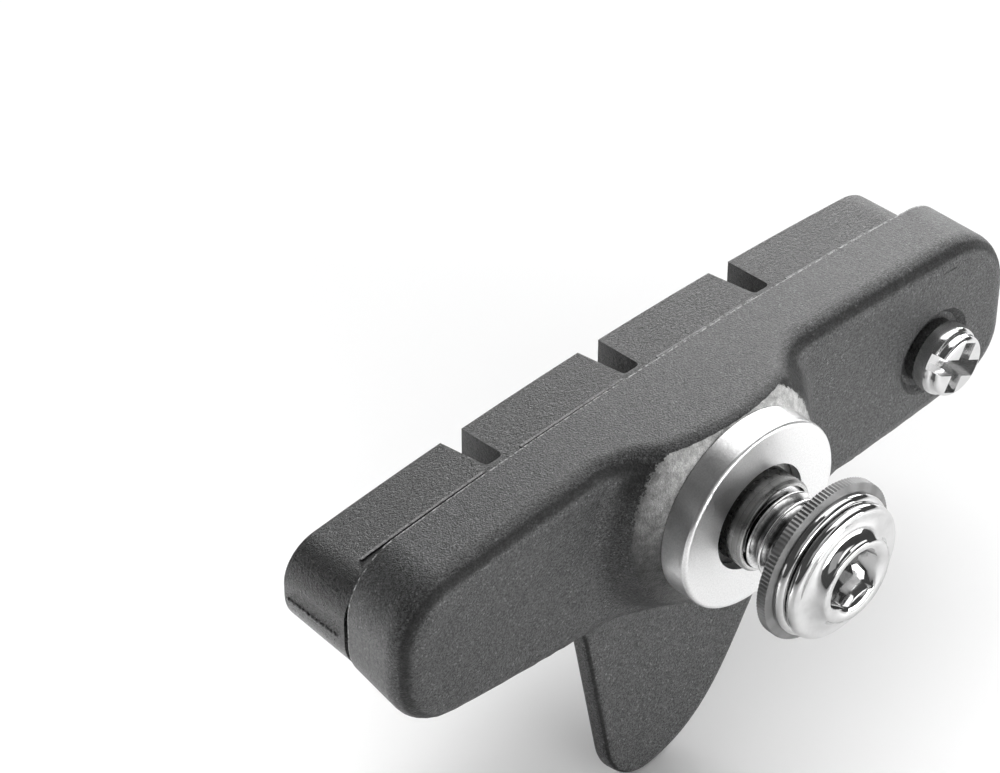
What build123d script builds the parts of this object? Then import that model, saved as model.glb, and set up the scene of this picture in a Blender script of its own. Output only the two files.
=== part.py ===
from build123d import *
import math
import os

# Cartridge brake shoe of a road bicycle: a cast holder with a wheel guide, a rubber insert that
# slides in from its open end, and an M6 fixing with two ball-seated washer pairs.
# Sizes are in millimetres. X runs along the pad to the holder's open end, Z is up and the wheel
# guide hangs down. The bolt's axis is Y, and the braking face looks to +Y.
# The origin is the centre of the washer face that bears on the brake arm.

# The pad's long arc, which follows the wheel rim
RIM_RADIUS = 277.0
CROWN_X = -2.0

# Holder: heights are those at the crown of the arc
LIP_Y = 11.16
LIP_TOP = 5.63
LIP_LOW = -6.3
LIP_CLOSED_X = -26.0
LIP_OPEN_X = 30.3
LIP_ROUNDS = (4.4, 5.2, 4.2, 4.5)
BACK_Y = 5.0
BACK_TOP = 6.8
BACK_LOW = -4.4
BACK_LOW_OPEN = -6.6
BACK_BELLY = -9.7
BACK_CLOSED_X = -27.2
BACK_OPEN_X = LIP_OPEN_X + 0.6
BACK_ROUNDS = (4.6, 5.6, 7.2, 3.8)
BACK_EDGE_ROUND = 1.5

# Channel for the insert
LIP_WALL_TOP = 1.5
LIP_WALL_LOW = 1.1
LIP_WALL_END = 0.5
FLOOR_Y = 7.3
GROOVE_DEPTH = 0.5
GROOVE_WIDTH = 1.8

# Ball seat on the bolt axis
SEAT_RADIUS = 14.0
SEAT_CROWN_Y = 0.3
SEAT_CENTRE_Y = SEAT_CROWN_Y + SEAT_RADIUS
BOSS_RADIUS = 8.4
BOSS_SPREAD = 1.3
BOSS_EDGE_ROUND = 1.5
BOSS_FLARE = 2.2

# Wheel guide
WING_Y = 6.4
WING_Z = -10.0
WING_TILT = 12.0
WING_THICKNESS = 1.6
WING_EDGE_ROUND = 0.5
WING_LEFT_X = -9.3
WING_LEFT_LEAN = 0.3
WING_ROOT_ROUND = 1.7
WING_DROP = 12.5
WING_TIP_X = -5.6
WING_KNEE = (2.0, 3.2)
WING_HIP = (7.0, 8.2)
WING_RIGHT_X = 21.0

# Rubber insert
INSERT_PLAY = 0.1
STRIP_PROUD = 0.95
STRIP_OPEN_X = LIP_OPEN_X + 0.5
STRIP_END_ROUND = 4.4
BLOCK_FRONT_Y = 17.3
BLOCK_CLOSED_X = -25.9
BLOCK_OPEN_X = LIP_OPEN_X - 0.1
BLOCK_TOP = 3.0
BLOCK_LOW = -4.5
BLOCK_TAPER = 4.0
BLOCK_ROUNDS = (2.8, 3.6, 3.9, 3.6)
SLOT_COUNT = 3
SLOT_FIRST_X = -10.2
SLOT_PITCH = 12.65
SLOT_DEPTH = 3.9
SLOT_ROOT_WIDTH = 1.05
SLOT_MOUTH_WIDTH = 1.3
SLOT_FLARE_WIDTH = 0.75
SLOT_FLARE_DEPTH = 2.6
SLOT_ROOT_ROUND = 0.35
RIB_Y = 12.9
RIB_WIDTH = 0.2
RIB_HEIGHT = 0.15
RIB_GAP = 1.2

# Threaded post, pressed into the holder
POST_RADIUS = 3.4
POST_NOSE = 1.35
POST_CHAMFER = 0.2
COLLAR_RADIUS = 4.6
COLLAR_COVER = 1.0

# Washers
WASHER_RADIUS = 7.0
WASHER_EDGE_ROUND = 0.3
WASHER_HOLE_RADIUS = 3.95
ARM_GAP = 5.1
CLAMP_RADIUS = 5.8
CLAMP_RIM = 0.7
CLAMP_HOLE_RADIUS = 4.0
CLAMP_TEETH = 120
CLAMP_TOOTH_DEPTH = 0.06
CUP_RADIUS = 5.2
CUP_ROUND = 0.42
SEAT_PLAY = 0.05
CUP_WALL = 0.2

# Bolt
BOLT_RADIUS = 3.0
THREAD_PLAY = 0.05
HOLE_PLAY = 0.09
BOLT_LENGTH = 12.0
HEAD_RADIUS = 4.95
HEAD_EDGE_ROUND = 0.45
HEAD_HEIGHT = 1.85
HEAD_DOME_SAG = 0.35
HEAD_RING_RADIUS = 3.05
HEAD_MOUTH_RADIUS = 2.55
HEX_FLATS = 4.0
HEX_DEPTH = 1.7

# Pad screw
SCREW_INSET = 7.3
SCREW_X = LIP_OPEN_X - SCREW_INSET
SCREW_Z = -2.8
SCREW_RADIUS = 1.5
SCREW_HEAD_RADIUS = 2.65
SCREW_HEAD_HEIGHT = 2.0
SCREW_SEAT_PROUD = 0.4
SCREW_SEAT_RADIUS = 2.4
MOAT_DEPTH = 0.45
MOAT_RADIUS = 2.9
MOAT_SLOPE = 0.5
SCREW_REACH = 1.6
SCREW_HOLE_PLAY = 0.2
CROSS_WIDTH = 1.3
CROSS_SPAN = 4.4
CROSS_DEPTH = 1.3


def on_arc(x, height):
    """Height at x of the arc that follows the rim and reaches the given height at the crown."""
    radius = RIM_RADIUS + height
    return math.sqrt(radius**2 - (x - CROWN_X) ** 2) - RIM_RADIUS


def pad_shape(y, x_lo, x_hi, top, low, low_hi, belly, rounds):
    """Face across the pad at y, with arcs above and below and four rounded corners.

    The rounds are those of the closed end's upper and lower corner, then the open end's.
    """
    mid = (x_lo + x_hi) / 2
    corners = [
        (x_lo, on_arc(x_lo, top)),
        (x_lo, on_arc(x_lo, low)),
        (x_hi, on_arc(x_hi, top)),
        (x_hi, on_arc(x_hi, low_hi)),
    ]
    upper_lo, lower_lo, upper_hi, lower_hi = corners
    edges = [
        ThreePointArc(upper_lo, (mid, on_arc(mid, top)), upper_hi),
        Line(upper_hi, lower_hi),
        ThreePointArc(lower_hi, (mid, on_arc(mid, belly)), lower_lo),
        Line(lower_lo, upper_lo),
    ]
    face = make_face(edges)
    heights = [upper_lo[1] - lower_lo[1]] * 2 + [upper_hi[1] - lower_hi[1]] * 2
    pairs = [rounds[0] + rounds[1]] * 2 + [rounds[2] + rounds[3]] * 2
    for corner, radius, height, pair in zip(corners, rounds, heights, pairs):
        if radius > 0:
            vertex = face.vertices().sort_by_distance((*corner, 0))[0]
            face = fillet(vertex, min(radius, 0.98 * height * radius / pair))
    return Plane.XZ.offset(-y) * face


def band(y_lo, y_hi, x_lo, x_hi, top, low, rounds):
    """Straight slab of the pad between two depths, with both long sides on the rim's arc."""
    return extrude(pad_shape(y_hi, x_lo, x_hi, top, low, low, low, rounds), y_hi - y_lo)


def along_y(profile):
    """Solid of revolution about the bolt axis from a profile of (radius, y) points or edges."""
    return revolve(profile, Axis.Y)


def holder_envelope():
    """The holder's drafted outside, carried on past its back as far as the ball seat."""
    reach = (LIP_Y - (SEAT_CROWN_Y - 1)) / (LIP_Y - BACK_Y)

    def carry(lip, back):
        return lip + (back - lip) * reach

    lip = pad_shape(
        LIP_Y, LIP_CLOSED_X, LIP_OPEN_X, LIP_TOP, LIP_LOW, LIP_LOW, LIP_LOW, LIP_ROUNDS
    )
    far = pad_shape(
        carry(LIP_Y, BACK_Y),
        carry(LIP_CLOSED_X, BACK_CLOSED_X),
        carry(LIP_OPEN_X, BACK_OPEN_X),
        carry(LIP_TOP, BACK_TOP),
        carry(LIP_LOW, BACK_LOW),
        carry(LIP_LOW, BACK_LOW_OPEN),
        carry(LIP_LOW, BACK_BELLY),
        [carry(a, b) for a, b in zip(LIP_ROUNDS, BACK_ROUNDS)],
    )
    return loft([lip, far], ruled=True)


def back_cutter():
    """What is cleared away behind the holder: all but the boss with its ball seat."""
    half_angle = math.asin(BOSS_RADIUS / SEAT_RADIUS) / 2
    crown = (0, SEAT_CROWN_Y)
    middle = (
        SEAT_RADIUS * math.sin(half_angle),
        SEAT_CENTRE_Y - SEAT_RADIUS * math.cos(half_angle),
    )
    edge = (BOSS_RADIUS, SEAT_CENTRE_Y - SEAT_RADIUS * math.cos(2 * half_angle))
    foot = (BOSS_RADIUS + BOSS_SPREAD, BACK_Y)
    seat = ThreePointArc(crown, middle, edge)
    rest = Polyline(edge, foot, (60, BACK_Y), (60, crown[1] - 4), (0, crown[1] - 4), crown)
    profile = make_face([seat, *rest.edges()])
    for corner, radius in ((edge, BOSS_EDGE_ROUND), (foot, BOSS_FLARE)):
        vertex = profile.vertices().sort_by_distance((*corner, 0))[0]
        profile = fillet(vertex, radius)
    return along_y(profile)


def wing():
    """The wheel guide: a thin curved fin that leans outboard from the holder's belly."""
    tilt = math.radians(WING_TILT)
    plane = Plane(
        origin=(0, WING_Y, WING_Z), x_dir=(1, 0, 0), z_dir=(0, -math.cos(tilt), math.sin(tilt))
    )
    with BuildSketch() as outline:
        with BuildLine():
            corner = (WING_LEFT_X, 0.2)
            left = Line(corner, (WING_LEFT_X + WING_LEFT_LEAN, -WING_DROP * 0.75))
            root = JernArc(corner, (0, 1), WING_ROOT_ROUND, 90)
            tip = TangentArc(left @ 1, (WING_TIP_X, -WING_DROP), tangent=left % 1)
            right = Spline(
                tip @ 1,
                (WING_KNEE[0], WING_KNEE[1] - WING_DROP),
                (WING_HIP[0], WING_HIP[1] - WING_DROP),
                (WING_RIGHT_X, 0.6),
                tangents=[tip % 1, (1, 0.08)],
            )
            Polyline(right @ 1, (WING_RIGHT_X, 2.5), ((root @ 1).X, 2.5), root @ 1)
        make_face()
    plate = extrude(plane * outline.sketch, -WING_THICKNESS)
    rim = plate.edges().filter_by(lambda e: e.center().Z < WING_Z - 1)
    return fillet(rim, WING_EDGE_ROUND)


def channel():
    """Room in the holder for the insert, open at the +X end."""
    top = LIP_TOP - LIP_WALL_TOP
    low = LIP_LOW + LIP_WALL_LOW
    closed = LIP_CLOSED_X + LIP_WALL_END
    rounds = (LIP_ROUNDS[0] - LIP_WALL_END, LIP_ROUNDS[1] - LIP_WALL_END, 0, 0)
    far = BACK_OPEN_X + 5
    mouth = band(FLOOR_Y, LIP_Y, closed, far, top, low, rounds)
    groove = band(
        FLOOR_Y, FLOOR_Y + GROOVE_WIDTH, closed, far, top + GROOVE_DEPTH, low - GROOVE_DEPTH, rounds
    )
    return mouth + groove


def screw_axis(solid):
    return Pos(SCREW_X, 0, SCREW_Z) * solid


def make_holder():
    body = holder_envelope() - back_cutter()
    back_edges = body.edges().filter_by_position(Axis.Y, BACK_Y - 0.01, BACK_Y + 0.01)
    body = fillet(back_edges.sort_by(Axis.X)[0], BACK_EDGE_ROUND)
    body = body + wing()
    body = body - channel()
    with BuildSketch() as post_room:
        with BuildLine():
            cover = BACK_Y + COLLAR_COVER
            Polyline(
                (0, -5), (POST_RADIUS, -5), (POST_RADIUS, cover), (COLLAR_RADIUS, cover),
                (COLLAR_RADIUS, FLOOR_Y + 1), (0, FLOOR_Y + 1), (0, -5),
            )
        make_face()
    body = body - along_y(post_room.sketch)
    return seat_screw(body)


def seat_screw(body):
    """The holder with the raised seat of the pad screw in its shallow moat, and the screw's hole."""
    floor = BACK_Y + MOAT_DEPTH
    moat = make_face(
        Polyline(
            (0, BACK_Y - MOAT_DEPTH), (MOAT_RADIUS + 2 * MOAT_SLOPE, BACK_Y - MOAT_DEPTH),
            (MOAT_RADIUS, floor), (0, floor), close=True,
        )
    )
    seat_y = BACK_Y - SCREW_SEAT_PROUD
    seat = make_face(
        Polyline(
            (0, seat_y), (SCREW_SEAT_RADIUS, seat_y), (SCREW_SEAT_RADIUS, floor), (0, floor),
            close=True,
        )
    )
    corner = seat.vertices().sort_by_distance((SCREW_SEAT_RADIUS, seat_y, 0))[0]
    seat = fillet(corner, SCREW_SEAT_PROUD / 2)
    depth = FLOOR_Y + 1 - seat_y
    hole = Pos(0, seat_y + depth / 2, 0) * Rot(90, 0, 0) * Cylinder(SCREW_RADIUS, depth)
    body = body - screw_axis(along_y(moat)) + screw_axis(along_y(seat))
    return body - screw_axis(hole)


def slot(wall_x):
    """Cutter for one slot: square to the pad on its +X side, flared on the other at the top."""
    root_y = BLOCK_FRONT_Y - SLOT_DEPTH
    mouth_y = BLOCK_FRONT_Y + 1
    flare_z = on_arc(wall_x, BLOCK_TOP) - SLOT_FLARE_DEPTH
    open_z = on_arc(wall_x, LIP_TOP)

    def plan(z, flare):
        points = [
            (wall_x, root_y),
            (wall_x, mouth_y),
            (wall_x - SLOT_MOUTH_WIDTH - flare, mouth_y),
            (wall_x - SLOT_ROOT_WIDTH - flare / 2, root_y),
        ]
        face = make_face(Polyline(*points, close=True))
        for corner in (points[0], points[3]):
            vertex = face.vertices().sort_by_distance((*corner, 0))[0]
            face = fillet(vertex, SLOT_ROOT_ROUND)
        return Pos(0, 0, z) * face

    straight = extrude(plan(on_arc(wall_x, LIP_LOW), 0), open_z - on_arc(wall_x, LIP_LOW))
    rise = (open_z - flare_z) / SLOT_FLARE_DEPTH
    flared = loft([plan(flare_z, 0), plan(open_z, SLOT_FLARE_WIDTH * rise)], ruled=True)
    return straight + flared


def make_insert():
    """Rubber insert: a dovetailed base in the channel and four blocks on it."""
    top = LIP_TOP - LIP_WALL_TOP - INSERT_PLAY
    low = LIP_LOW + LIP_WALL_LOW + INSERT_PLAY
    closed = LIP_CLOSED_X + LIP_WALL_END + INSERT_PLAY
    closed_rounds = (LIP_ROUNDS[0] - LIP_WALL_END, LIP_ROUNDS[1] - LIP_WALL_END)
    rounds = (*closed_rounds, STRIP_END_ROUND, STRIP_END_ROUND)
    strip_y = LIP_Y + STRIP_PROUD
    base = band(FLOOR_Y, strip_y, closed, STRIP_OPEN_X, top, low, rounds)
    flange = band(
        FLOOR_Y,
        FLOOR_Y + GROOVE_WIDTH - INSERT_PLAY,
        closed,
        STRIP_OPEN_X,
        top + GROOVE_DEPTH,
        low - GROOVE_DEPTH,
        rounds,
    )
    slope = math.tan(math.radians(BLOCK_TAPER))
    root_y = strip_y - 0.5
    spread = (BLOCK_FRONT_Y - root_y) * slope
    root = pad_shape(
        root_y, BLOCK_CLOSED_X, BLOCK_OPEN_X, BLOCK_TOP + spread,
        BLOCK_LOW - spread, BLOCK_LOW - spread, BLOCK_LOW - spread, BLOCK_ROUNDS,
    )
    front = pad_shape(
        BLOCK_FRONT_Y, BLOCK_CLOSED_X, BLOCK_OPEN_X, BLOCK_TOP,
        BLOCK_LOW, BLOCK_LOW, BLOCK_LOW, BLOCK_ROUNDS,
    )
    blocks = loft([root, front], ruled=True)
    rib_top = BLOCK_TOP + (BLOCK_FRONT_Y - RIB_Y) * slope
    rib = band(
        RIB_Y,
        RIB_Y + RIB_WIDTH,
        BLOCK_CLOSED_X + BLOCK_ROUNDS[0],
        BLOCK_OPEN_X - BLOCK_ROUNDS[2] + 1,
        rib_top + RIB_HEIGHT,
        rib_top - 1,
        (0, 0, 0, 0),
    )
    walls = [SLOT_FIRST_X + number * SLOT_PITCH for number in range(SLOT_COUNT)]
    for wall_x in walls:
        mouth = SLOT_MOUTH_WIDTH + SLOT_FLARE_WIDTH
        gap = Box(mouth + RIB_GAP, 4 * RIB_WIDTH, LIP_TOP * 4)
        middle = wall_x + (RIB_GAP - mouth) / 2
        rib = rib - Pos(middle, RIB_Y, 0) * gap
    insert = base + flange + blocks + rib
    for wall_x in walls:
        insert = insert - slot(wall_x)
    notch = Cylinder(SCREW_RADIUS + SCREW_HOLE_PLAY, 2 * (SCREW_REACH + INSERT_PLAY + 0.1))
    notch = Pos(0, FLOOR_Y, 0) * Rot(90, 0, 0) * notch
    return insert - screw_axis(notch)


def make_screw():
    """Pad screw with a slot and cross recess: it threads through the holder and locks the insert."""
    seat = BACK_Y - SCREW_SEAT_PROUD
    tip = FLOOR_Y + SCREW_REACH
    crown = seat - SCREW_HEAD_HEIGHT
    profile = make_face(
        Polyline(
            (0, crown), (SCREW_HEAD_RADIUS, crown), (SCREW_HEAD_RADIUS, seat),
            (SCREW_RADIUS, seat), (SCREW_RADIUS, tip), (0, tip), close=True,
        )
    )
    corner = profile.vertices().sort_by_distance((SCREW_HEAD_RADIUS, crown, 0))[0]
    screw = along_y(fillet(corner, SCREW_HEAD_HEIGHT * 0.5))
    end = screw.faces().sort_by(Axis.Y)[-1]
    screw = chamfer(end.edges(), 0.3)
    slot_bar = Box(2 * SCREW_HEAD_RADIUS + 1, CROSS_DEPTH * 2, CROSS_WIDTH)
    short_bar = Box(CROSS_WIDTH, CROSS_DEPTH * 2, CROSS_SPAN)
    cross = Pos(0, crown, 0) * (slot_bar + short_bar)
    point = Pos(0, crown + CROSS_DEPTH * 0.9, 0) * Rot(-90, 0, 0) * Cone(0.75, 0.2, 1.2)
    return screw_axis(screw - Rot(0, 30, 0) * cross - point)


def make_post():
    """Steel post, pressed into the holder from the channel side, with the thread for the bolt."""
    cover = BACK_Y + COLLAR_COVER
    bore = BOLT_RADIUS + THREAD_PLAY
    profile = make_face(
        Polyline(
            (bore, -POST_NOSE), (POST_RADIUS, -POST_NOSE), (POST_RADIUS, cover),
            (COLLAR_RADIUS, cover), (COLLAR_RADIUS, FLOOR_Y), (bore, FLOOR_Y), close=True,
        )
    )
    nose = profile.vertices().sort_by_distance((POST_RADIUS, -POST_NOSE, 0))[0]
    return along_y(chamfer(nose, POST_CHAMFER))


def ball_arc(radius, inner, outer):
    """Arc about the ball centre, on the bolt's side of it, from one distance off the axis to another."""
    middle = (inner + outer) / 2
    points = [
        (r, SEAT_CENTRE_Y - math.sqrt(radius**2 - r**2)) for r in (inner, middle, outer)
    ]
    return ThreePointArc(*points)


def make_concave_washer():
    """Washer against the arm, hollowed to ride on the holder's ball seat."""
    seat = ball_arc(SEAT_RADIUS + SEAT_PLAY, WASHER_HOLE_RADIUS, WASHER_RADIUS)
    rest = Polyline(seat @ 1, (WASHER_RADIUS, 0), (WASHER_HOLE_RADIUS, 0), seat @ 0)
    profile = make_face([seat, *rest.edges()])
    corner = profile.vertices().sort_by_distance((WASHER_RADIUS, 0, 0))[0]
    return along_y(fillet(corner, WASHER_EDGE_ROUND))


def clamp_ball():
    """Radius of the ball surface between the two washers under the bolt's head."""
    return math.hypot(SEAT_CENTRE_Y + ARM_GAP + CLAMP_RIM, CLAMP_RADIUS)


def head_seat():
    """Depth of the face under the bolt's head, where the cup washer's thinnest wall ends."""
    hole = BOLT_RADIUS + HOLE_PLAY
    return SEAT_CENTRE_Y - math.sqrt((clamp_ball() + SEAT_PLAY) ** 2 - hole**2) - CUP_WALL


def make_clamp_washer():
    """Toothed washer on the arm's outer side, domed about the same ball centre."""
    seat = ball_arc(clamp_ball(), CLAMP_HOLE_RADIUS, CLAMP_RADIUS)
    rest = Polyline(
        seat @ 1, (CLAMP_RADIUS, -ARM_GAP), (CLAMP_HOLE_RADIUS, -ARM_GAP), seat @ 0
    )
    washer = along_y(make_face([seat, *rest.edges()]))
    radii = [CLAMP_RADIUS, CLAMP_RADIUS - CLAMP_TOOTH_DEPTH] * CLAMP_TEETH
    step = math.pi / CLAMP_TEETH
    teeth = [(r * math.cos(i * step), r * math.sin(i * step)) for i, r in enumerate(radii)]
    gear = extrude(Plane.XZ * make_face(Polyline(*teeth, close=True)), 3 * ARM_GAP)
    return washer & gear


def make_cup_washer():
    """Rounded washer between the toothed washer and the bolt's head."""
    hole = BOLT_RADIUS + HOLE_PLAY
    seat = ball_arc(clamp_ball() + SEAT_PLAY, hole, CUP_RADIUS)
    back = head_seat()
    rest = Polyline(seat @ 1, (CUP_RADIUS, back), (hole, back), seat @ 0)
    profile = make_face([seat, *rest.edges()])
    corner = profile.vertices().sort_by_distance((CUP_RADIUS, back, 0))[0]
    return along_y(fillet(corner, CUP_ROUND))


def make_bolt():
    """Button head bolt with a rolled edge and a hexagon socket."""
    seat_y = head_seat()
    top_y = seat_y - HEAD_HEIGHT
    tip_y = seat_y + BOLT_LENGTH
    edge_y = seat_y - 2 * HEAD_EDGE_ROUND
    flank_x = HEAD_RADIUS - HEAD_EDGE_ROUND
    under = Polyline(
        (HEAD_RING_RADIUS, top_y), (0, top_y), (0, tip_y), (BOLT_RADIUS, tip_y),
        (BOLT_RADIUS, seat_y), (flank_x, seat_y),
    )
    edge = ThreePointArc(
        under @ 1, (HEAD_RADIUS, seat_y - HEAD_EDGE_ROUND), (flank_x, edge_y)
    )
    dome = SagittaArc(edge @ 1, under @ 0, -HEAD_DOME_SAG)
    bolt = along_y(make_face([*under.edges(), edge, dome]))
    end = bolt.faces().sort_by(Axis.Y)[-1]
    bolt = chamfer(end.edges(), 0.5)
    hexagon = RegularPolygon(HEX_FLATS / math.sqrt(3), 6, rotation=15)
    socket = extrude(Plane.XZ.offset(1 - top_y) * hexagon, -HEX_DEPTH - 1)
    mouth = Cone(HEX_FLATS / 2, HEAD_MOUTH_RADIUS, 0.5)
    mouth = Pos(0, top_y + 0.25, 0) * Rot(90, 0, 0) * mouth
    return bolt - socket - mouth


nodes = {
    "holder": make_holder(),
    "pad_insert": make_insert(),
    "pad_screw": make_screw(),
    "threaded_post": make_post(),
    "concave_washer": make_concave_washer(),
    "clamp_washer": make_clamp_washer(),
    "cup_washer": make_cup_washer(),
    "fixing_bolt": make_bolt(),
}

os.makedirs("parts", exist_ok=True)
for name, solid in nodes.items():
    export_step(solid, f"parts/{name}.step")
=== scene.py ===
import math

import bmesh
import bpy
from mathutils import Matrix, Vector


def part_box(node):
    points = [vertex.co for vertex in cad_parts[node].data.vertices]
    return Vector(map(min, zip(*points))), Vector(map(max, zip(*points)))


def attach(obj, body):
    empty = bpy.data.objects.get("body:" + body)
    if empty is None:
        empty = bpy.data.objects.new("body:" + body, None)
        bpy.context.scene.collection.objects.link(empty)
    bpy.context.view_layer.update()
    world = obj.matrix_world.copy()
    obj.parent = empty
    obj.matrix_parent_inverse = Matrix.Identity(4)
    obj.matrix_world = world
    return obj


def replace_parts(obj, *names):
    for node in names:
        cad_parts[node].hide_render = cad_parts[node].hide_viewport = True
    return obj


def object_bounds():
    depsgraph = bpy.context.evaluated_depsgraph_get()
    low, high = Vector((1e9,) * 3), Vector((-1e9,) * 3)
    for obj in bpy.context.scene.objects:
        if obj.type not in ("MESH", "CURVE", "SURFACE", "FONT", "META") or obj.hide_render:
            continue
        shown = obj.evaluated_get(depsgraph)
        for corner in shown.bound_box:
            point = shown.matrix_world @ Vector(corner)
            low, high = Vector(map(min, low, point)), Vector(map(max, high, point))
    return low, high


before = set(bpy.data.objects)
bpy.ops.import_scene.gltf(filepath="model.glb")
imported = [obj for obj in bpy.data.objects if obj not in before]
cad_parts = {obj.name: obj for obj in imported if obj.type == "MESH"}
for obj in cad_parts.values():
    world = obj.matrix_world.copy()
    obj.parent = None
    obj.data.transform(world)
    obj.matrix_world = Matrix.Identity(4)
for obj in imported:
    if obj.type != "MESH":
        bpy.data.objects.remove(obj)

cad_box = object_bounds()
MM = 0.001

# Sizes that follow the CAD's, in millimetres
RIM_RADIUS = 277.0
CROWN_X = -2.0
LIP_Y = 11.16
BLOCK_CLOSED_X = -25.9
BLOCK_FRONT_Y = 17.3
RIB_Y = 12.9
BOLT_RADIUS = 3.0
BOLT_LENGTH = 12.0
BOLT_TIP_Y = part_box("fixing_bolt")[1].y / MM
HEAD_SEAT_Y = BOLT_TIP_Y - BOLT_LENGTH
POST_NOSE_Y = -1.35
SCREW_X = 23.0
SCREW_Z = -2.8
SCREW_RADIUS = 1.5
SCREW_HEAD_RADIUS = 2.65
SCREW_TIP_Y = 8.9
SCREW_SEAT_Y = 4.6
SCREW_CROWN_Y = 2.6
WING_Y = 6.4
WING_Z = -10.0
WING_TILT = math.radians(12.0)
WING_THICKNESS = 1.6

# Sizes and places of the detail that only this scene has, in millimetres
SOCKET_REACH = 2.4
THREAD_PITCH = 1.0
THREAD_DEPTH = 0.55
SCREW_CORE = 1.25
SCREW_PITCH = 0.5
PATCH_X = -0.45
PATCH_Z = 0.45
SEAM_Z = -1.75
SEAM_FOOT_Y = 12.25
MARK_X = 4.0
MARK_DROP = 3.2


class Finish:
    """A material built from nodes, with short helpers to add and join them."""

    def __init__(self, name, **values):
        self.material = bpy.data.materials.new(name)
        self.material.use_nodes = True
        self.tree = self.material.node_tree
        self.tree.nodes.clear()
        self.shader = self.tree.nodes.new("ShaderNodeBsdfPrincipled")
        output = self.tree.nodes.new("ShaderNodeOutputMaterial")
        self.tree.links.new(self.shader.outputs[0], output.inputs[0])
        self.place = self.tree.nodes.new("ShaderNodeTexCoord").outputs["Object"]
        for socket, value in values.items():
            self.shader.inputs[socket.replace("_", " ")].default_value = value

    def feed(self, socket, value):
        if isinstance(value, bpy.types.NodeSocket):
            self.tree.links.new(value, socket)
        else:
            socket.default_value = value

    def times(self, first, second):
        return self.math("MULTIPLY", first, second)

    def math(self, operation, *values, clamp=False):
        node = self.tree.nodes.new("ShaderNodeMath")
        node.operation = operation
        node.use_clamp = clamp
        for socket, value in zip(node.inputs, values):
            self.feed(socket, value)
        return node.outputs[0]

    def ramp(self, value, low, high, to_low=0.0, to_high=1.0):
        node = self.tree.nodes.new("ShaderNodeMapRange")
        node.interpolation_type = "SMOOTHSTEP"
        limits = {"From Min": low, "From Max": high, "To Min": to_low, "To Max": to_high}
        for name, number in limits.items():
            node.inputs[name].default_value = number
        self.feed(node.inputs["Value"], value)
        return node.outputs["Result"]

    def noise(self, cell, detail=2.0, roughness=0.5, stretch=(1, 1, 1), distortion=0.0):
        """Noise whose features are about cell millimetres across."""
        scale = self.tree.nodes.new("ShaderNodeVectorMath")
        scale.operation = "MULTIPLY"
        self.feed(scale.inputs[0], self.place)
        scale.inputs[1].default_value = [1 / (cell * MM * s) for s in stretch]
        node = self.tree.nodes.new("ShaderNodeTexNoise")
        self.feed(node.inputs["Vector"], scale.outputs[0])
        node.inputs["Scale"].default_value = 1.0
        node.inputs["Detail"].default_value = detail
        node.inputs["Roughness"].default_value = roughness
        node.inputs["Distortion"].default_value = distortion
        return node.outputs["Fac"]

    def cells(self, cell):
        """One random number for each cell of a mosaic about cell millimetres across."""
        node = self.tree.nodes.new("ShaderNodeTexVoronoi")
        self.feed(node.inputs["Vector"], self.place)
        node.inputs["Scale"].default_value = 1 / (cell * MM)
        split = self.tree.nodes.new("ShaderNodeSeparateColor")
        self.feed(split.inputs[0], node.outputs["Color"])
        return split.outputs[0]

    def axes(self):
        split = self.tree.nodes.new("ShaderNodeSeparateXYZ")
        self.feed(split.inputs[0], self.place)
        return split.outputs

    def facing(self, side):
        """How squarely the surface looks to side * Y, from 0 to 1."""
        split = self.tree.nodes.new("ShaderNodeSeparateXYZ")
        self.feed(split.inputs[0], self.place.node.outputs["Normal"])
        return self.math("MULTIPLY", split.outputs["Y"], side, clamp=True)

    def mix(self, share, low, high):
        node = self.tree.nodes.new("ShaderNodeMix")
        node.data_type = "RGBA"
        node.clamp_factor = True
        self.feed(node.inputs[0], share)
        self.feed(node.inputs[6], low)
        self.feed(node.inputs[7], high)
        return node.outputs[2]

    def grey(self, value, tint=(1.0, 1.0, 1.0)):
        """A colour from a number."""
        join = self.tree.nodes.new("ShaderNodeCombineColor")
        for socket, share in zip(join.inputs, tint):
            self.feed(socket, self.times(value, share))
        return join.outputs[0]

    def bump(self, height, depth, strength=1.0, under=None):
        node = self.tree.nodes.new("ShaderNodeBump")
        node.inputs["Distance"].default_value = depth * MM
        node.inputs["Strength"].default_value = strength
        self.feed(node.inputs["Height"], height)
        if under is not None:
            self.feed(node.inputs["Normal"], under)
        return node.outputs[0]

    def set(self, **values):
        for name, value in values.items():
            self.feed(self.shader.inputs[name.replace("_", " ")], value)


def distance_from(finish, x, z):
    """Distance in the XZ plane from a line along Y, in metres."""
    px, _, pz = finish.axes()
    dx = finish.math("SUBTRACT", px, x * MM)
    dz = finish.math("SUBTRACT", pz, z * MM)
    square = finish.math("ADD", finish.times(dx, dx), finish.times(dz, dz))
    return finish.math("SQRT", square)


def bare_patch(f, x, y, z, reach):
    """How bare the cast boss is round the light washer, and the metal's colour there with painted
    shade.
    """
    seat = f.ramp(reach, 8.12 * MM, 8.0 * MM)
    back = f.times(f.ramp(y, 4.5 * MM, 4.3 * MM), f.ramp(f.facing(-1.0), 0.50, 0.53))
    mottled = f.ramp(f.noise(0.6, 4.0, 0.7), 0.3, 0.72, 0.34, 0.62)
    fine = f.ramp(f.noise(0.10, 2.0, 0.6), 0.3, 0.7, 0.86, 1.14)
    # painted shade: the bare metal darkens towards the bottom and the left
    fine = f.times(fine, f.ramp(z, -2.0 * MM, 5.0 * MM, 0.26, 1.0))
    fine = f.times(fine, f.ramp(x, -8.0 * MM, -3.5 * MM, 0.5, 1.0))
    return f.times(seat, back), f.grey(f.times(mottled, fine), (1.0, 1.0, 0.99))


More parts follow.
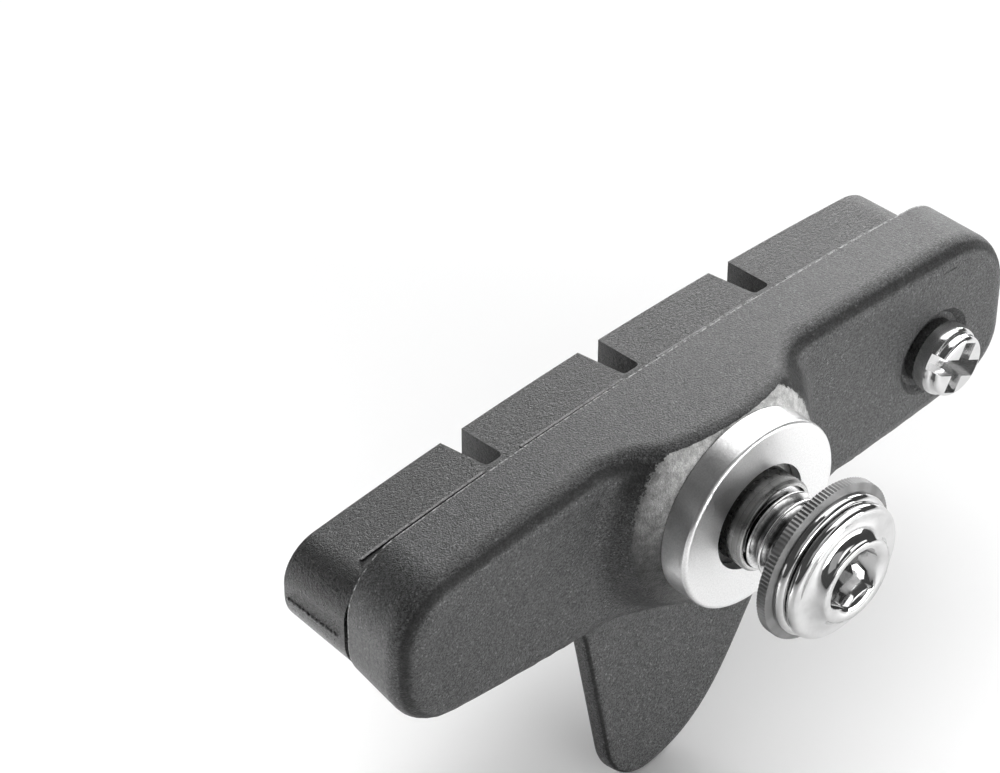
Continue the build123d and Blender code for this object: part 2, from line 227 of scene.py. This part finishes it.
def crease_shade(f, z, reach):
    """How much painted shade darkens the back's rounds: less on the boss, none at the screw."""
    turned = f.facing(-1.0)
    crease = f.times(f.ramp(turned, 0.40, 0.62), f.ramp(turned, 0.93, 0.80))
    crease = f.times(crease, f.ramp(f.noise(0.4, 3.0, 0.6), 0.2, 0.8, 0.6, 0.95))
    screw = distance_from(f, SCREW_X, SCREW_Z)
    crease = f.times(crease, f.ramp(screw, 3.4 * MM, 4.0 * MM))
    flank = f.times(f.ramp(reach, 12.5 * MM, 11.0 * MM), f.ramp(z, 5.0 * MM, 3.0 * MM))
    return f.times(crease, f.ramp(flank, 0.0, 1.0, 1.0, 0.25))


def holder_paint():
    """Fine matt paint with light specks, worn off round the washer; painted shade on the rounds,
    painted highlight specks on the lip.
    """
    f = Finish("holder_paint", Specular_IOR_Level=0.40)
    x, y, z = f.axes()
    patches = f.ramp(f.noise(2.4, 3.0, 0.6), 0.3, 0.7, 0.004, 0.010)
    flakes = f.ramp(f.cells(0.12), 0.95, 0.99)
    shade = f.math("ADD", f.times(f.cells(0.085), 0.085), patches)
    shade = f.math("ADD", shade, f.times(flakes, 0.08))
    ragged = f.math("SUBTRACT", f.noise(0.3, 5.0, 0.8), 0.5)
    reach = f.math("ADD", distance_from(f, PATCH_X, PATCH_Z), f.times(ragged, 1.1 * MM))
    bare, metal = bare_patch(f, x, y, z, reach)
    colour = f.mix(bare, f.grey(shade, (0.99, 1.0, 1.01)), metal)
    crease = crease_shade(f, z, reach)
    painted = f.ramp(bare, 0.0, 1.0, 1.0, 0.0)
    # painted shade: near-black mixed into the paint along the back's rounds
    colour = f.mix(f.times(crease, painted), colour, (0.004, 0.004, 0.004, 1))
    # painted highlight: light grey specks along the lip's edge
    specks = f.ramp(f.noise(0.22, 3.0, 0.8), 0.46, 0.58)
    lip = f.times(f.ramp(y, (LIP_Y - 0.16) * MM, (LIP_Y - 0.05) * MM), specks)
    lip = f.times(lip, f.ramp(f.facing(1.0), 0.6, 0.3))
    colour = f.mix(f.times(lip, 0.9), colour, (0.55, 0.55, 0.55, 1))
    rough = f.ramp(f.noise(0.2, 2.0, 0.6), 0.3, 0.7, 0.36, 0.48)
    coarse = f.bump(f.noise(0.9, 2.0, 0.5), 0.05, 0.2)
    f.set(
        Base_Color=colour,
        Metallic=f.times(bare, 0.8),
        Roughness=f.math("ADD", rough, f.times(crease, 0.2)),
        Normal=f.bump(f.noise(0.13, 2.0, 0.65), 0.06, 1.0, coarse),
    )
    return f.material


def pad_rubber():
    """Leathery rubber with scuffs, a painted highlight along the rib and painted shade at the root
    behind it.
    """
    f = Finish("pad_rubber", Specular_IOR_Level=0.62)
    x, y, z = f.axes()
    px = f.math("SUBTRACT", x, CROWN_X * MM)
    pz = f.math("ADD", z, RIM_RADIUS * MM)
    height = f.math("SQRT", f.math("ADD", f.times(px, px), f.times(pz, pz)))
    height = f.math("SUBTRACT", height, RIM_RADIUS * MM)
    end = f.ramp(x, -24.4 * MM, -25.2 * MM)
    grain = f.noise(0.19, 3.0, 0.65, (1.5, 1.0, 1.0), 0.8)
    base = f.ramp(f.noise(1.6, 3.0, 0.6), 0.3, 0.7, 0.006, 0.012)
    shade = f.math("ADD", base, f.ramp(grain, 0.4, 0.75, 0.0, 0.012))
    # painted highlight: the next lines mask a light line along the rib's top
    near = f.ramp(y, (RIB_Y + 0.02) * MM, (RIB_Y + 0.06) * MM)
    far = f.ramp(y, (RIB_Y + 0.26) * MM, (RIB_Y + 0.2) * MM)
    ridge = f.times(f.times(near, far), f.ramp(height, 3.36 * MM, 3.42 * MM))
    ridge = f.times(ridge, f.ramp(f.noise(0.4, 3.0, 0.7), 0.30, 0.5))
    # painted shade: near-black at the root between the rib and the holder's lip, weaker towards the
    # closed end
    behind = f.ramp(y, RIB_Y * MM, (RIB_Y - 0.3) * MM)
    root = f.times(behind, f.ramp(height, 2.6 * MM, 3.0 * MM))
    root = f.times(root, f.ramp(x, -24.5 * MM, -21.0 * MM, 0.2, 0.75))
    colour = f.mix(root, f.grey(shade), (0.004, 0.004, 0.004, 1))
    colour = f.mix(f.times(ridge, 0.7), colour, (0.26, 0.26, 0.26, 1))
    rough = f.math("SUBTRACT", f.ramp(grain, 0.3, 0.7, 0.30, 0.45), f.times(end, 0.15))
    leather = f.bump(grain, 0.12, 1.0)
    scuffs = f.noise(0.5, 4.0, 0.7, (3.0, 1.0, 1.0), 1.2)
    f.set(Base_Color=colour, Roughness=rough, Normal=f.bump(scuffs, 0.08, 0.5, leather))
    return f.material


def satin_aluminium():
    """Light satin metal with fine turned rings and scratches."""
    f = Finish("satin_aluminium", Metallic=1.0)
    speck = f.ramp(f.noise(0.13, 3.0, 0.7), 0.25, 0.75, 0.73, 0.88)
    radius = distance_from(f, 0.0, 0.0)
    rings = f.math("SINE", f.times(radius, 2 * math.pi / (0.11 * MM)))
    scratch = f.ramp(f.noise(0.7, 4.0, 0.75), 0.62, 0.7, 0.0, -0.10)
    f.set(
        Base_Color=f.grey(f.math("ADD", speck, scratch)),
        Roughness=f.ramp(f.noise(0.3, 2.0, 0.5), 0.3, 0.7, 0.29, 0.38),
        Normal=f.bump(rings, 0.004, 0.3, f.bump(f.noise(0.12, 2.0, 0.6), 0.012, 0.7)),
    )
    return f.material


def dark_steel():
    """Turned steel, brighter at the post's nose."""
    f = Finish("dark_steel", Metallic=1.0)
    _, y, _ = f.axes()
    rings = f.noise(0.09, 2.0, 0.6, (400, 1, 400))
    bright = f.ramp(y, (POST_NOSE_Y + 0.10) * MM, (POST_NOSE_Y + 0.03) * MM)
    tone = f.math("ADD", f.ramp(rings, 0.3, 0.7, 0.20, 0.34), f.times(bright, 0.4))
    f.set(
        Base_Color=f.grey(tone, (1.0, 1.0, 0.99)),
        Roughness=f.ramp(f.noise(0.5, 3.0, 0.6), 0.3, 0.7, 0.24, 0.36),
        Normal=f.bump(rings, 0.01, 0.4),
    )
    return f.material


def bright_steel(name, smooth, rough, tone):
    """Plated steel; its roughness wanders between smooth and rough."""
    f = Finish(name, Metallic=1.0)
    shade = f.ramp(f.noise(1.2, 3.0, 0.6), 0.3, 0.7, tone - 0.04, tone + 0.05)
    f.set(
        Base_Color=f.grey(shade),
        Roughness=f.ramp(f.noise(0.6, 4.0, 0.65), 0.3, 0.75, smooth, rough),
        Normal=f.bump(f.noise(0.8, 3.0, 0.6), 0.01, 0.2),
    )
    return f.material


def thread_steel():
    """Bright steel that darkens towards the thread's roots."""
    f = Finish("thread_steel", Metallic=1.0)
    root, crest = (BOLT_RADIUS - 0.5) * MM, (BOLT_RADIUS - 0.08) * MM
    depth = f.ramp(distance_from(f, 0.0, 0.0), root, crest, 0.22, 0.85)
    smear = f.ramp(f.noise(0.35, 4.0, 0.7), 0.3, 0.7, 0.75, 1.2)
    f.set(
        Base_Color=f.grey(f.times(depth, smear)),
        Roughness=f.ramp(f.noise(0.3, 3.0, 0.7), 0.3, 0.7, 0.12, 0.26),
        Normal=f.bump(f.noise(0.2, 3.0, 0.7), 0.015, 0.3),
    )
    return f.material


def plain(name, tone, rough):
    return Finish(name, Base_Color=(tone, tone, tone, 1), Roughness=rough).material


def put(mesh, name, body, material):
    """A smooth piece from a bmesh, riding on a body."""
    data = bpy.data.meshes.new(name)
    mesh.to_mesh(data)
    mesh.free()
    piece = bpy.data.objects.new(name, data)
    bpy.context.scene.collection.objects.link(piece)
    data.materials.append(material)
    for polygon in data.polygons:
        polygon.use_smooth = True
    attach(piece, body)
    return piece


def dress(node, material):
    """Give a CAD node its looks."""
    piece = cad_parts[node]
    piece.data.materials.clear()
    piece.data.materials.append(material)


def on_circle(mesh, radius, y, angle):
    """A vertex at a radius about the Y axis, given in millimetres."""
    place = (radius * math.cos(angle) * MM, y * MM, radius * math.sin(angle) * MM)
    return mesh.verts.new(place)


def close_rows(mesh, rows, around):
    """Faces between rings of vertices, and a cap at each end."""
    for low, high in zip(rows, rows[1:]):
        for j in range(around):
            k = (j + 1) % around
            mesh.faces.new((low[j], high[j], high[k], low[k]))
    mesh.faces.new(rows[0])
    mesh.faces.new(list(reversed(rows[-1])))
    bmesh.ops.recalc_face_normals(mesh, faces=mesh.faces[:])


def build_thread(material):
    """Thread as a height field on the shank: radius from height and angle, with closed ends."""
    around, along = 72, 300
    outer, neck, fade = BOLT_RADIUS - 0.02, 0.8, 0.6
    tip, taper = BOLT_RADIUS - 0.6, 1.16
    crest, slope = 0.07, 0.30
    start, stop = HEAD_SEAT_Y, BOLT_TIP_Y
    mesh = bmesh.new()
    rows = []
    for i in range(along + 1):
        y = start + (stop - start) * i / along
        runout = min(1.0, max(0.0, (y - start - neck) / fade))
        chamfer = tip + (stop - y) * taper
        row = []
        for j in range(around):
            turn = j / around
            phase = ((y - start) / THREAD_PITCH - turn) % 1.0
            flank = min(1.0, max(0.0, (abs(phase - 0.5) - crest) / slope))
            radius = min(outer - THREAD_DEPTH * flank * runout, chamfer)
            row.append(on_circle(mesh, radius, y, 2 * math.pi * turn))
        rows.append(row)
    close_rows(mesh, rows, around)
    return put(mesh, "bolt_shank", "bolt", material)


def build_head(material):
    """The bolt's head, copied from the CAD bolt without its plain shank."""
    mesh = bmesh.new()
    mesh.from_mesh(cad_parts["fixing_bolt"].data)
    bmesh.ops.remove_doubles(mesh, verts=mesh.verts[:], dist=1e-7)
    below = (HEAD_SEAT_Y + 0.01) * MM
    shank = [
        v for v in mesh.verts
        if v.co.y > below and math.hypot(v.co.x, v.co.z) > SOCKET_REACH * MM
    ]
    bmesh.ops.delete(mesh, geom=shank, context="VERTS")
    rim = [e for e in mesh.edges if e.is_boundary]
    bmesh.ops.contextual_create(mesh, geom=rim)
    bmesh.ops.recalc_face_normals(mesh, faces=mesh.faces[:])
    piece = put(mesh, "bolt_head", "bolt", material)
    piece.data.set_sharp_from_angle(angle=math.radians(32))
    return piece


def lathe(mesh, profile, around):
    """Solid of revolution about Y from (radius, y) points that start and end on the axis."""
    rings = []
    for radius, y in profile:
        turns = range(around) if radius else range(1)
        rings.append([on_circle(mesh, radius, y, 2 * math.pi * i / around) for i in turns])
    for low, high in zip(rings, rings[1:]):
        for i in range(around):
            j = (i + 1) % around
            corners = [
                low[i % len(low)], high[i % len(high)], high[j % len(high)], low[j % len(low)]
            ]
            mesh.faces.new(list(dict.fromkeys(corners)))
    bmesh.ops.recalc_face_normals(mesh, faces=mesh.faces[:])


def cross_cutter(width, reach, depth, floor_width, floor_reach):
    """Tapered cross, with its arms along X and Z, that goes down from Y = 0 to the depth."""
    mesh = bmesh.new()

    def outline(half, long, y):
        corners = []
        for turn in range(4):
            for u, v in ((long, -half), (long, half), (half, half)):
                c, s = [(1, 0), (0, 1), (-1, 0), (0, -1)][turn]
                place = ((u * c - v * s) * MM, y * MM, (u * s + v * c) * MM)
                corners.append(mesh.verts.new(place))
        return corners

    top = outline(width / 2, reach, -0.5)
    mouth = outline(width / 2, reach, 0)
    floor = outline(floor_width / 2, floor_reach, depth)
    for low, high in ((top, mouth), (mouth, floor)):
        for i in range(12):
            j = (i + 1) % 12
            mesh.faces.new((low[i], low[j], high[j], high[i]))
    mesh.faces.new(top)
    mesh.faces.new(list(reversed(floor)))
    bmesh.ops.recalc_face_normals(mesh, faces=mesh.faces[:])
    return mesh


def block_cutter(size):
    """Block of the given millimetres about the origin."""
    mesh = bmesh.new()
    bmesh.ops.create_cube(mesh, size=1.0)
    bmesh.ops.scale(mesh, vec=[s * MM for s in size], verts=mesh.verts[:])
    return mesh


def carve(piece, cutters):
    """Cut each mesh out of the piece and keep the result as the piece's own mesh."""
    tools = []
    for number, (mesh, turn) in enumerate(cutters):
        data = bpy.data.meshes.new(f"cutter_{number}")
        mesh.to_mesh(data)
        mesh.free()
        data.transform(turn)
        tool = bpy.data.objects.new(f"cutter_{number}", data)
        bpy.context.scene.collection.objects.link(tool)
        cut = piece.modifiers.new(f"cut_{number}", "BOOLEAN")
        cut.object = tool
        cut.solver = "EXACT"
        tools.append(tool)
    bpy.context.view_layer.update()
    carved = piece.evaluated_get(bpy.context.evaluated_depsgraph_get())
    piece.data = bpy.data.meshes.new_from_object(carved)
    piece.modifiers.clear()
    for tool in tools:
        bpy.data.objects.remove(tool)


def quarter_round(radius, y, across, along):
    """Profile points of a round that starts level and ends steep."""
    turns = [math.pi / 2 * i / 6 for i in range(7)]
    return [(radius + across * math.sin(a), y + along * (1 - math.cos(a))) for a in turns]


def build_screw(material):
    """Pad screw: domed foot, a step, a flat top with a cross recess and a slot through one side."""
    crown = SCREW_CROWN_Y
    profile = [(0, crown)]
    profile += quarter_round(1.95, crown, 0.38, 0.38)
    profile.append((2.34, crown + 0.62))
    profile += quarter_round(SCREW_HEAD_RADIUS - 0.25, crown + 0.72, 0.25, 0.85)
    profile += [(SCREW_HEAD_RADIUS, SCREW_SEAT_Y), (SCREW_RADIUS, SCREW_SEAT_Y)]
    y = SCREW_SEAT_Y + 0.4
    while y < SCREW_TIP_Y - SCREW_PITCH:
        profile += [(SCREW_RADIUS, y), (SCREW_CORE, y + SCREW_PITCH / 2)]
        y += SCREW_PITCH
    profile += [(1.2, SCREW_TIP_Y), (0, SCREW_TIP_Y)]
    mesh = bmesh.new()
    lathe(mesh, profile, 72)
    piece = put(mesh, "pad_screw_detailed", "shoe", material)
    turn = Matrix.Rotation(math.radians(30), 4, "Y")
    down = Matrix.Translation((0, crown * MM, 0))
    slot = Matrix.Translation((-1.6 * MM, (crown + 0.25) * MM, 0))
    carve(
        piece,
        [
            (cross_cutter(1.25, 1.95, 1.5, 0.7, 0.9), down @ turn),
            (block_cutter((3.0, 1.6, 1.2)), turn @ slot),
        ],
    )
    piece.data.transform(Matrix.Translation((SCREW_X * MM, 0, SCREW_Z * MM)))
    piece.data.set_sharp_from_angle(angle=math.radians(35))
    return piece


def build_seam(material):
    """Mould seam across the insert's closed end, a low uneven ridge sunk into the rubber."""
    mesh = bmesh.new()
    along, around = 60, 9
    length = BLOCK_FRONT_Y - 0.1 - SEAM_FOOT_Y
    rows = []
    for i in range(along + 1):
        y = SEAM_FOOT_Y + length * i / along
        wobble = 0.04 * math.sin(9.1 * y) + 0.03 * math.sin(23.0 * y + 1.0)
        height = 0.09 + 0.035 * math.sin(14.3 * y) + 0.02 * math.sin(37.0 * y)
        width = 0.16 + 0.05 * math.sin(17.0 * y + 2.0)
        end = min(1.0, min(i, along - i) / 3)
        row = []
        for k in range(around):
            a = math.pi * k / (around - 1)
            x = BLOCK_CLOSED_X + 0.05 - (0.05 + height * end) * math.sin(a)
            z = SEAM_Z + wobble + width * math.cos(a)
            row.append(mesh.verts.new((x * MM, y * MM, z * MM)))
        rows.append(row)
    close_rows(mesh, rows, around)
    return put(mesh, "rubber_seam", "shoe", material)


def build_ejector_mark(material):
    """Small raised ring that the mould's ejector pin leaves on the wheel guide's inner face."""
    mesh = bmesh.new()
    big, small, around, tube = 0.55, 0.09, 48, 10
    rings = []
    for i in range(around):
        a = 2 * math.pi * i / around
        ring = []
        for k in range(tube):
            b = 2 * math.pi * k / tube
            r = big + small * math.cos(b)
            place = (r * math.cos(a) * MM, r * math.sin(a) * MM, small * math.sin(b) * MM)
            ring.append(mesh.verts.new(place))
        rings.append(ring)
    for i in range(around):
        near, far = rings[i], rings[(i + 1) % around]
        for k in range(tube):
            j = (k + 1) % tube
            mesh.faces.new((near[k], far[k], far[j], near[j]))
    bmesh.ops.recalc_face_normals(mesh, faces=mesh.faces[:])
    out = Vector((0, math.cos(WING_TILT), -math.sin(WING_TILT)))
    down = Vector((0, -math.sin(WING_TILT), -math.cos(WING_TILT)))
    along = Vector((1, 0, 0))
    spot = Vector((MARK_X, WING_Y, WING_Z)) + MARK_DROP * down + WING_THICKNESS * out
    turn = Matrix((along, out.cross(along), out)).transposed().to_4x4()
    mesh.transform(Matrix.Translation(spot * MM) @ turn)
    return put(mesh, "ejector_mark", "shoe", material)


def softbox(name, toward, distance, size, radiance):
    """A rectangular light that looks at the part; radiance is its brightness seen face on."""
    centre = Vector((0.0, 0.008, -0.005))
    way = Vector(toward).normalized()
    lamp = bpy.data.lights.new(name, "AREA")
    lamp.shape = "RECTANGLE"
    lamp.size, lamp.size_y = size
    lamp.energy = radiance * math.pi * size[0] * size[1]
    stand = bpy.data.objects.new(name, lamp)
    bpy.context.scene.collection.objects.link(stand)
    stand.location = centre + way * distance
    stand.rotation_mode = "QUATERNION"
    stand.rotation_quaternion = way.to_track_quat("Z", "Y")


def wash(name, spot, height, size, radiance):
    """Soft light that hangs over the floor and points straight down at it."""
    data = bpy.data.lights.new(name, "AREA")
    data.shape = "RECTANGLE"
    data.size, data.size_y = size
    data.energy = radiance * math.pi * size[0] * size[1]
    data.spread = math.radians(80)
    light = bpy.data.objects.new(name, data)
    light.location = (spot[0], spot[1], cad_box[0].z + height)
    bpy.context.scene.collection.objects.link(light)


def studio():
    """White floor, world and lamps; sizes, distances and places of the lamps are in metres."""
    floor_mesh = bmesh.new()
    bmesh.ops.create_grid(floor_mesh, x_segments=1, y_segments=1, size=1.2)
    data = bpy.data.meshes.new("floor")
    floor_mesh.to_mesh(data)
    floor_mesh.free()
    floor = bpy.data.objects.new("floor", data)
    floor.location.z = cad_box[0].z
    bpy.context.scene.collection.objects.link(floor)
    data.materials.append(plain("floor_white", 0.96, 0.9))
    scene = bpy.context.scene
    world = bpy.data.worlds.new("studio")
    scene.world = world
    world.use_nodes = True
    sky = world.node_tree.nodes["Background"]
    sky.inputs["Color"].default_value = (1, 1, 1, 1)
    sky.inputs["Strength"].default_value = 0.09
    softbox("key", (0.78, 0.58, 0.30), 0.26, (0.26, 0.105), 6.4)
    softbox("overhead", (0.50, 0.18, 0.85), 0.5, (0.50, 0.50), 2.2)
    softbox("left", (-0.83, 0.54, 0.14), 0.4, (0.25, 0.10), 1.0)
    softbox("front", (0.35, -1.0, 0.14), 0.6, (0.7, 0.16), 8.0)
    softbox("fill", (-0.35, -0.75, 0.60), 0.6, (0.5, 0.3), 0.45)
    wash("floor_left", (-0.075, 0.060), 0.08, (0.08, 0.08), 2.6)
    wash("floor_front", (0.035, -0.075), 0.09, (0.14, 0.07), 1.4)
    scene.view_settings.view_transform = "Standard"


def camera():
    """Camera fitted to the photograph; places in metres."""
    back = Vector((-0.52258, -0.53937, 0.66029)).normalized()
    right = Vector((0.71820, -0.69584, 0.0)).normalized()
    up = back.cross(right)
    data = bpy.data.cameras.new("camera")
    data.sensor_width = 36.0
    data.lens = 144.475
    data.clip_start, data.clip_end = 0.01, 10.0
    view = bpy.data.objects.new("camera", data)
    bpy.context.scene.collection.objects.link(view)
    turn = Matrix((right, up, back)).transposed().to_4x4()
    view.matrix_world = Matrix.Translation((-0.14410, -0.12452, 0.17801)) @ turn
    bpy.context.scene.camera = view


camera()
studio()
chrome = bright_steel("bright_steel", 0.05, 0.12, 0.56)
paint = holder_paint()
rubber = pad_rubber()
dress("holder", paint)
dress("pad_insert", rubber)
dress("threaded_post", dark_steel())
dress("concave_washer", satin_aluminium())
dress("clamp_washer", bright_steel("washer_steel", 0.46, 0.6, 0.22))
dress("cup_washer", chrome)
head = build_head(chrome)
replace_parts(head, "fixing_bolt")
build_thread(thread_steel())
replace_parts(build_screw(bright_steel("screw_steel", 0.12, 0.24, 0.66)), "pad_screw")
build_seam(rubber)
build_ejector_mark(paint)
